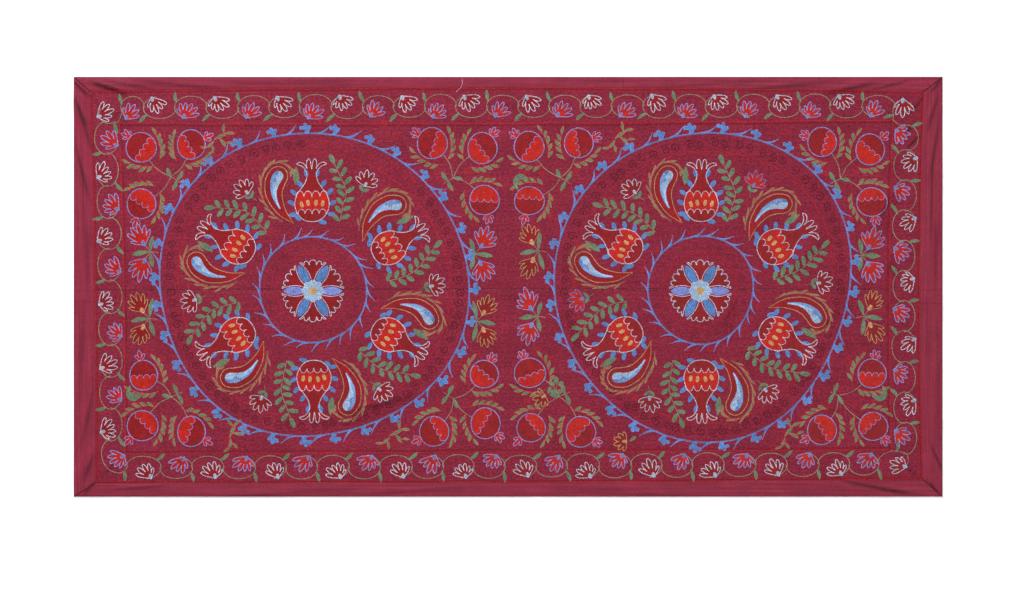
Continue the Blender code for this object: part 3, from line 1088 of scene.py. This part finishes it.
for number, centre in enumerate(medallion["centres"]):
    to = setAt(centre)
    waver, ring = medallion["waver"][number], medallion["ring"][number]
    ringLine(to, ring, ["silkBlue", "silkPeriwinkle"], 0.95, waver, rows=2)
    ringLine(to, ring - medallion["threadInside"], ["silkScarlet"], 0.85, waver)
    ringLine(to, medallion["heartRing"], ["silkBlue", "silkPeriwinkle"], 0.95, waver, part=0.2, rows=2)
    ringLine(to, medallion["heartThread"], ["silkScarlet"], 0.85, waver, part=0.15)
    for k in range(medallion["sprays"]):
        at = 360 / medallion["sprays"] * k + jitter(1.0)
        lobedCurl(to, ring + float(wavering(waver, at)) + 2, at, 0.87 + jitter(0.07))
        at -= 180 / medallion["sprays"] + 0.4 + jitter(0.5)
        thorn(to, ring + float(wavering(waver, at)) + 2, at + 1.2, 0.74 + jitter(0.1))
    for k in range(medallion["thorns"]):
        at = 360 / medallion["thorns"] * k + jitter(2.2)
        thorn(to, medallion["heartRing"] + 0.2 * float(wavering(waver, at)) + 2, at, 0.62 + jitter(0.07))
    # dark scrolls between the ring and its inner thread: tone on tone on the cloth itself, and worked in a
    # darker thread here as painted shade for the shadow of their relief
    for k in range(medallion["scrolls"]):
        at = 360 / medallion["scrolls"] * k + jitter(0.8)
        reach = ring - medallion["scrollInside"] + float(wavering(waver, at)) + jitter(3)
        pale = 44 < at < 92 and number == 0
        spiral(to, polar(reach, at), 11 + jitter(1.2), 1.35, at + alternate(30, 210, k) + jitter(30),
               "silkScarlet" if pale else "silkWine", 1.0 if not pale else 0.5, clockwise=k % 2 == 0, tail=9)
    for k in range(22):
        at = 360 / 22 * k + jitter(3)
        spiral(to, polar(113 + jitter(2.5), at), 8 + jitter(1), 1.3, jitter(180), "silkWine", 0.6)
    for k in range(6):
        sixth = setAt(centre, 90 - 60 * k + jitter(0.8))
        bigPomegranate(sixth)
        paisleyMotif(sixth)
        leafyBranch(sixth)
        sprigFlower(sixth, red=(number == 1 and k in (0, 4)))
        for r, a, size in ((150, 8, 8), (150, -12, 7), (316, 27, 7), (268, -33, 7)):
            spiral(sixth, polar(r, 90 + a + jitter(2)), size, 1.5, jitter(180), "silkScarlet", 0.5)
    rosetteMotif(to)
print("medallions worked")

# Pomegranates in threes fill the corners round each medallion. One trio is drawn for the upper right corner,
# in millimetres from the medallion's middle, then turned over into the others and varied a little each time.
fruitTrio = {
    "node": 355 + 285j,
    "link": 330 + 272j,
    "fruits": [(308 + 374j, 155), (434 + 363j, 45), (431 + 226j, 288)],
    "size": 75,
    "vary": {"place": 6, "size": 5, "crown": 8},
    "lowerShare": 0.94,
    "hook": [436 + 280j, 456 + 290j, 468 + 276j, 462 + 256j],
    "hooked": [(1, -1, 1), (0, -1, -1), (1, 1, -1)],
    "trefoilAt": (1, -1, -1),
}

# loose curls between them, in millimetres from the middle of a medallion, and the size of each
fieldCurls = [
    (320, 300, 13), (395, 305, 10), (355, 255, 10), (215, 400, 11),
    (180, 420, 9), (380, 185, 9), (445, 295, 8), (415, 165, 11),
]


def smallPomegranate(to, middle, wide, tall, crown):
    # a round fruit: crimson under its little crown, scarlet at the other end, a scalloped line between
    turns = np.arange(0, 360, 9)
    lumpy = 1 + 0.015 * np.cos(np.radians(3 * turns + 40))
    rays = np.radians(turns)
    outline = middle + lumpy * (wide / 2 * np.cos(rays) + 1j * tall / 2 * np.sin(rays))
    radius = (wide + tall) / 4

    def onFruit(degrees):
        ray = np.radians(degrees)
        return middle + wide / 2 * np.cos(ray) + 1j * tall / 2 * np.sin(ray)

    fill("silkCrimson", outline, rings(middle, radius + 5), to)
    towards = crown + 180 + jitter(16)
    half = 74 + jitter(9)
    ends = onFruit(towards - half), onFruit(towards + half)
    ends = middle + (ends[0] - middle) * 0.95, middle + (ends[1] - middle) * 0.95
    line = scallops(ends[0], ends[1], 4, 10.0)
    sweep = np.linspace(towards + half, towards - half, 20)
    light = np.concatenate((line, middle + (onFruit(sweep)[1:-1] - middle) * 0.95))
    fill("silkScarlet", light, rings(middle, radius + 5), to, lift=0.0002)
    chain("silkCornflower", line, to, width=0.75, lift=0.0003)
    chain("silkCornflower", outline, to, closed=True, width=1.1, lift=0.0002)
    root = onFruit(crown) - polar(1.5, crown)
    crownAt = lambda points: to(root + np.asarray(points) * polar(1, crown - 90))
    fanFlower(crownAt, alternate([19, 25, 25, 18], [20, 27, 20], round(crown)), notch=0.40,
              opening=alternate(122, 104, round(crown)), heart=None, width=0.75)


def spray(to, middle, radius, start, sweep, leaves=4):
    # a tendril that hugs a fruit, with plump pointed leaves on its outer side, all edged in rust
    share = np.linspace(0, 1, 16)
    line = middle + polar(radius * (1 + 0.30 * (1 - share) ** 2 + 0.10 * share**3), start + sweep * share)
    chain("silkRust", line, to, width=0.9)
    spots = evenly(line[1:], abs(line[-1] - line[1]) / leaves)
    side = 1 if sweep > 0 else -1
    for here, there in zip(spots, spots[1:]):
        way = math.degrees(np.angle(there - here))
        leaf(to, here, way - side * (24 + jitter(7)), 22 + jitter(2), 9.5 + jitter(1),
             edge="silkRust", bend=side * 3)
    way = math.degrees(np.angle(spots[-1] - spots[-2]))
    leaf(to, spots[-1], way - side * 10, 22, 8, edge="silkRust", bend=-side * 5)


def hook(to, line):
    # a leaf that curls over and stands alone beside a fruit
    spine = through(line, steps=8)
    share = np.linspace(0, 1, len(spine))
    half = 5.5 * np.sin(np.pi * (0.06 + 0.94 * share) ** 0.8) ** 0.7 + 0.8
    shape = np.concatenate((offset(spine, half), offset(spine, -half)[::-1]))
    fill("silkGreen", shape, [offset(spine, half * f) for f in (-0.8, -0.4, 0, 0.4, 0.8)], to)
    chain("silkGreen", shape, to, closed=True, width=0.75, lift=0.0001)


def trefoil(to, root):
    # five blunt leaves on one short stem
    leaves = ((33j, 90, 17), (-4 + 29j, 155, 16), (4 + 29j, 25, 16), (9j, 160, 16), (9j, 20, 16))
    for spot, turn, size in leaves:
        leaf(to, root + spot, turn, size, 10, blunt=True)
    chain("silkGreen", [root + 3j, root + 17j, root + 33j], to, width=0.9)


def cornerGroup(to, corner):
    vary = fruitTrio["vary"]
    across, upward = corner[1:]
    tall = upward * (1.0 if upward > 0 else fruitTrio["lowerShare"])

    def turned(spot, wander=0):
        return complex(across * spot.real + jitter(wander), tall * spot.imag + jitter(wander))

    node = turned(fruitTrio["node"], vary["place"])
    for index, (spot, crown) in enumerate(fruitTrio["fruits"]):
        middle = turned(spot, vary["place"])
        wide, high = (fruitTrio["size"] + jitter(vary["size"]) for _ in range(2))
        facing = polar(1, crown + jitter(vary["crown"]))
        crown = math.degrees(np.angle(complex(across * facing.real, upward * facing.imag)))
        radius = (wide + high) / 4
        back = math.degrees(np.angle(node - middle))
        turn = 1 if ((middle - node) * polar(1, -90)).real * (1, -1, 1)[index] > 0 else -1
        foot = middle + polar(radius, back + turn * 14)
        sway = polar(6, back + 90) * turn
        chain("silkOlive", through([node, (node + foot) / 2 + sway, foot], steps=8), to, width=0.95)
        smallPomegranate(to, middle, wide, high, crown)
        spray(to, middle, radius + 6, back + 9, 76 + jitter(7))
        spray(to, middle, radius + 6, back - 9, -76 + jitter(7))
    link = turned(fruitTrio["link"])
    chain("silkOlive", through([node, (node + link) / 2 + jitter(2), link], steps=8), to, width=0.7)
    way = math.degrees(np.angle(link - node))
    leaf(to, (node + link) / 2, way + 74, 27, 10, bend=-6)
    leaf(to, (node + link) / 2, way - 70, 27, 10, bend=6)
    leaf(to, node, way + 150, 24, 9.5, bend=2)
    if corner in fruitTrio["hooked"]:
        hook(to, [turned(spot) for spot in fruitTrio["hook"]])
    if corner == fruitTrio["trefoilAt"]:
        trefoil(to, node - 8)


palmettes = {
    # how far a pair stands from the middle of a medallion, in metres, and the threads of the upper and the
    # lower pair by medallion and side
    "across": 0.410,
    "upper": 0.098,
    "lower": -0.072,
    "vary": 0.008,
    "threads": {
        (0, -1): ("red", "gold"),
        (0, 1): ("red", "gold"),
        (1, -1): ("gold", "red"),
        (1, 1): ("red", "gold"),
    },
    "reach": [39, 47, 55, 54, 47, 39],
}


def palmettePair(to, red):
    # two fan flowers on one node, heading away from the medallion (up, here), with leaves between
    for side in (1, -1):
        turn = 90 + side * (50 + jitter(6))
        root = polar(22, turn)
        facing = 90 + side * (62 + jitter(9))
        flowerAt = lambda points: to(root + np.asarray(points) * polar(1, facing - 90))
        chain("silkOlive", [0j, root], to, width=0.75)
        reach = [r * random.uniform(0.92, 1.08) * (1.0 if red else 0.93) for r in palmettes["reach"]]
        reach = reach if side > 0 else reach[::-1]
        fanFlower(flowerAt, reach, notch=0.60, opening=112 if red else 104,
                  outline="silkCornflower" if red else "silkGold",
                  petals="silkScarlet" if red else "silkCrimson",
                  heart="silkBlue" if red else "silkGold", heartSize=1.0, width=0.95 if red else 0.8)
        heading = 90 + side * (94 + jitter(6))
        leaf(to, polar(3, heading), heading, (36 if red else 44) + jitter(4), 11, bend=side * -5)
    leaf(to, 2j, 90 + jitter(4), 44, 12, bend=5)
    leaf(to, 12j, 72 + jitter(4), 26, 9, bend=-4)
    chain("silkOlive", [0j, -9j, -20j + 3], to, width=0.75)


def antler(to):
    # a loose forked sprig of green edged in rust
    for root, turn, length, width in ((0j, 62, 34, 9), (14 + 26j, 128, 24, 8), (14 + 26j, 40, 26, 8),
                                      (10 + 10j, -12, 26, 9), (30 + 8j, 40, 20, 7), (2 - 2j, -100, 26, 8),
                                      (-2 - 22j, -140, 22, 7), (2 - 14j, -40, 20, 7)):
        leaf(to, root, turn, length, width, edge="silkRust", bend=4)


for number, centre in enumerate(medallion["centres"]):
    for across in (1, -1):
        for upward in (1, -1):
            cornerGroup(setAt(centre), (number, across, upward))
            for x, y, size in fieldCurls:
                spot = complex(across * x, upward * y * (1.0 if upward > 0 else 0.95))
                spiral(setAt(centre), spot + complex(jitter(6), jitter(6)), size + jitter(1), 1.6,
                       jitter(180), "silkScarlet", 0.6, clockwise=x % 2 == 0)

for (number, side), threads in palmettes["threads"].items():
    for level, thread in zip(("upper", "lower"), threads):
        wander = complex(jitter(palmettes["vary"]), jitter(palmettes["vary"]))
        node = medallion["centres"][number] + complex(side * palmettes["across"], palmettes[level]) + wander
        palmettePair(setAt(node, 0 if side > 0 else 180, 1.0, mirror=side < 0), thread == "red")

# sprigs and single flowers that fill the gaps above and below the medallions, in metres on the cloth
sprigs = [
    {"x": -0.745, "y": 0.372, "heading": 60, "kind": "antler"},
    {"x": 0.270, "y": 0.374, "heading": 70, "kind": "antler"},
    {"x": -0.705, "y": -0.382, "heading": 100, "kind": "antler"},
    {"x": -0.300, "y": -0.378, "heading": 60, "kind": "antler"},
    {"x": 0.700, "y": -0.380, "heading": 85, "kind": "antler"},
    {"x": 0.300, "y": -0.392, "heading": 180, "kind": "flower"},
    {"x": 0.094, "y": -0.276, "heading": 210, "kind": "flower"},
]
for row in sprigs:
    to = setAt(complex(row["x"], row["y"]), row["heading"])
    if row["kind"] == "antler":
        antler(to)
    else:
        fanFlower(to, [24, 28, 32, 32, 28, 25], notch=0.56, opening=175, outline="silkGold",
                  petals="silkCrimson", heart="silkGold", heartSize=0.8)
        leaf(to, -8j, -50, 20, 8)
# the mitres are sewn down with dark thread
for name in inner:
    chain("silkWine", np.linspace(inner[name], outer[name], 12), asDrawn, width=1.0)
# where lengths of strip are joined end to end, and a loose thread that lies over the upper one
for x in (-0.557, 0.292):
    chain("silkWine", [x + 1j * (topSeam(x) + 0.001), x + 0.001 + 1j * (high.y - 0.002)], asDrawn, width=0.6)
for y in (-0.011, -0.037):
    chain("silkWine", [low.x + 0.002 + 1j * y, leftSeam(y) - 0.001 + 1j * y], asDrawn, width=0.55)
for y in (-0.008, -0.042):
    chain("silkWine", [high.x - 0.002 + 1j * y, rightSeam(y) + 0.001 + 1j * y], asDrawn, width=0.55)
looseThread = [-0.117 + 0.527j, -0.116 + 0.516j, -0.121 + 0.504j, -0.132 + 0.493j]
chain("silkLilacWhite", through(looseThread, steps=8), asDrawn, width=0.45)
print("field worked")


def lineMesh(points, faces, tails, heads, widths, heights, lifts):
    # the same little shape at every stitch, stretched between its two ends
    way = heads - tails
    length = np.abs(way)
    along = way / np.maximum(length, 1e-6)
    spot = (tails[:, None] + along[:, None] * (length[:, None] * points[None, :, 0])
            + 1j * along[:, None] * (widths[:, None] * points[None, :, 1]))
    height = topHeight(spot.real, spot.imag) + lifts[:, None] + heights[:, None] * points[None, :, 2]
    places = np.stack((spot.real, spot.imag, height), -1).reshape(-1, 3)
    allFaces = (faces[None] + (np.arange(len(tails)) * len(points))[:, None, None]).reshape(-1, 3)
    return places, allFaces


def patchMesh(outline, lift):
    # a flat shape of laid thread that follows the cloth
    step = 0.011
    kept = outline[np.abs(outline - np.roll(outline, 1)) > 2e-5]
    spread = np.ptp(kept.real), np.ptp(kept.imag)
    inner = np.zeros(0, complex)
    if max(spread) > 1.6 * step:
        xs = np.arange(kept.real.min() + step / 2, kept.real.max(), step)
        ys = np.arange(kept.imag.min() + step / 2, kept.imag.max(), step)
        gridX, gridY = np.meshgrid(xs, ys)
        spots = (gridX + 1j * gridY).ravel()
        inner = spots[inside(spots, kept)]
    spots = np.concatenate((kept, inner))
    made = delaunay_2d_cdt([Vector((p.real, p.imag)) for p in spots], [], [list(range(len(kept)))], 1, 1e-6)
    flat = np.array([(v.x, v.y) for v in made[0]])
    height = topHeight(flat[:, 0], flat[:, 1]) + 0.00022 + lift
    faces = []
    for face in made[2]:
        a, b, c = (flat[i] for i in face)
        turn = (b[0] - a[0]) * (c[1] - a[1]) - (b[1] - a[1]) * (c[0] - a[0])
        faces.append(face if turn > 0 else face[::-1])
    return np.column_stack((flat, height)), np.array(faces, int).reshape(-1, 3)


def silkMaterial(name, look):
    # Filament silk: long smooth fibres with little twist. The eye sees a soft gloss along each stitch, and
    # small steps of shade from one dyed length to the next.
    material, tree, shader = newMaterial(name + "_floss")
    tint = addNode(tree, "ShaderNodeAttribute", {"attribute_name": "tint"})
    base = addNode(tree, "ShaderNodeHueSaturation", None,
                   {"Value": tint.outputs["Fac"], "Color": toLinear(look["hex"])})
    spot = addNode(tree, "ShaderNodeTexCoord").outputs["Object"]
    faded = addNode(tree, "ShaderNodeTexNoise", None, {"Vector": spot, "Scale": 26.0, "Detail": 3.0})
    amount = addNode(tree, "ShaderNodeMapRange", None,
                     {"Value": faded.outputs[0], "From Min": 0.3, "From Max": 0.7,
                       "To Min": 0.78, "To Max": 1.05})
    fadeAndSeamShade = addNode(tree, "ShaderNodeVectorMath", {"operation": "SCALE"},
                   {0: base.outputs[0], "Scale": amount.outputs[0]})
    tree.links.new(fadeAndSeamShade.outputs[0], shader.inputs["Base Color"])
    # filaments are about 0.3 mm apart where the floss spreads
    fibres = addNode(tree, "ShaderNodeTexNoise", None, {"Vector": spot, "Scale": 1800.0, "Detail": 2.0})
    bump = addNode(tree, "ShaderNodeBump", None,
                   {"Height": fibres.outputs[0], "Strength": 0.35, "Distance": 0.0003})
    tree.links.new(bump.outputs[0], shader.inputs["Normal"])
    shader.inputs["Roughness"].default_value = 0.48
    shader.inputs["Sheen Weight"].default_value = 0.02
    shader.inputs["Sheen Roughness"].default_value = 0.35
    shader.inputs["Specular IOR Level"].default_value = 0.18
    return material


triangles = 0
for name, look in silks.items():
    places, faces, tints, start = [], [], [], 0

    def keep(made, shade):
        global start
        places.append(made[0])
        faces.append(made[1] + start)
        tints.append(shade)
        start += len(made[0])

    for tails, heads, width, lift in chains[name]:
        count = len(tails)
        shade = 1 + jitter(0.06) + random.normal(0, 0.15, count)
        # a fine line is drawn as single lobes, a broad one as linked pairs
        points, faceRows = (grainPoints, grainFaces) if width < 0.78 else (linkPoints, linkFaces)
        shade = np.repeat(shade, len(points))
        keep(lineMesh(points, faceRows, tails, heads,
                      stitch["linkWidth"] * width * random.uniform(0.9, 1.1, count),
                      np.full(count, stitch["linkHeight"] * (0.5 + 0.5 * width)),
                      np.full(count, lift)), shade)
    for tails, heads, lift in grains[name]:
        count = len(tails)
        if count == 0:
            continue
        shade = np.repeat(1.03 + jitter(0.05) + random.normal(0, 0.26, count), len(grainPoints))
        keep(lineMesh(grainPoints, grainFaces, tails, heads,
                      stitch["grainWidth"] * random.uniform(0.88, 1.1, count),
                      np.full(count, stitch["grainHeight"]), np.full(count, lift + 0.00018)), shade)
    # painted shade: the laid ground under each filling gets 0.62 of its thread's colour, for the shadow in
    # the gaps between the stitches
    for outline, lift in patches[name]:
        made = patchMesh(outline, lift)
        if len(made[1]):
            keep(made, np.full(len(made[0]), 0.62))
    if not places:
        continue
    mesh = bpy.data.meshes.new(name)
    mesh.from_pydata(np.concatenate(places).tolist(), [], np.concatenate(faces).tolist())
    mesh.polygons.foreach_set("use_smooth", np.ones(len(mesh.polygons), bool))
    tintLayer = mesh.attributes.new("tint", "FLOAT", "POINT")
    tintLayer.data.foreach_set("value", np.concatenate(tints).astype(np.float32))
    mesh.materials.append(silkMaterial(name, look))
    mesh.update()
    piece = bpy.data.objects.new(name, mesh)
    bpy.context.scene.collection.objects.link(piece)
    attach(piece, "root")
    triangles += len(mesh.polygons)
    print(name, len(mesh.polygons), "triangles")
print("silk in all:", triangles, "triangles")

# painted board: an even, very pale matt surface
bpy.ops.mesh.primitive_plane_add(size=30, location=(0, 0, -0.0006))
floor = bpy.context.active_object
floor.name = "floor"
board, _, boardShader = newMaterial("painted_board")
boardShader.inputs["Base Color"].default_value = toLinear("FFFFFF")
boardShader.inputs["Roughness"].default_value = 0.9
floor.data.materials.append(board)

studio = {
    "sky": 0.36,
    "lamps": [
        {"name": "key", "at": (-3.6, 5.8, 3.8), "size": 1.6, "power": 640},
        {"name": "fill", "at": (1.6, -1.0, 7.0), "size": 3.5, "power": 205},
    ],
}
world = bpy.data.worlds.new("studio")
bpy.context.scene.world = world
world.use_nodes = True
world.node_tree.nodes["Background"].inputs["Color"].default_value = (1, 1, 1, 1)
world.node_tree.nodes["Background"].inputs["Strength"].default_value = studio["sky"]
for row in studio["lamps"]:
    lamp = bpy.data.lights.new(row["name"], "AREA")
    lamp.size = row["size"]
    lamp.energy = row["power"]
    holder = bpy.data.objects.new(row["name"], lamp)
    holder.location = row["at"]
    holder.rotation_euler = (-Vector(row["at"])).to_track_quat("-Z", "Y").to_euler()
    bpy.context.scene.collection.objects.link(holder)

# the camera looks straight down, from far enough to see the cloth with a margin all round
eye = {"lens": 85.0, "sensor": 36.0, "seen": 2.594, "across": 0.0098, "upward": -0.0323}
lens = bpy.data.cameras.new("camera")
lens.lens = eye["lens"]
lens.sensor_width = eye["sensor"]
camera = bpy.data.objects.new("camera", lens)
camera.location = (eye["across"], eye["upward"], eye["seen"] * eye["lens"] / eye["sensor"])
bpy.context.scene.collection.objects.link(camera)
bpy.context.scene.camera = camera
bpy.context.scene.view_settings.view_transform = "Standard"

print("scene ready")
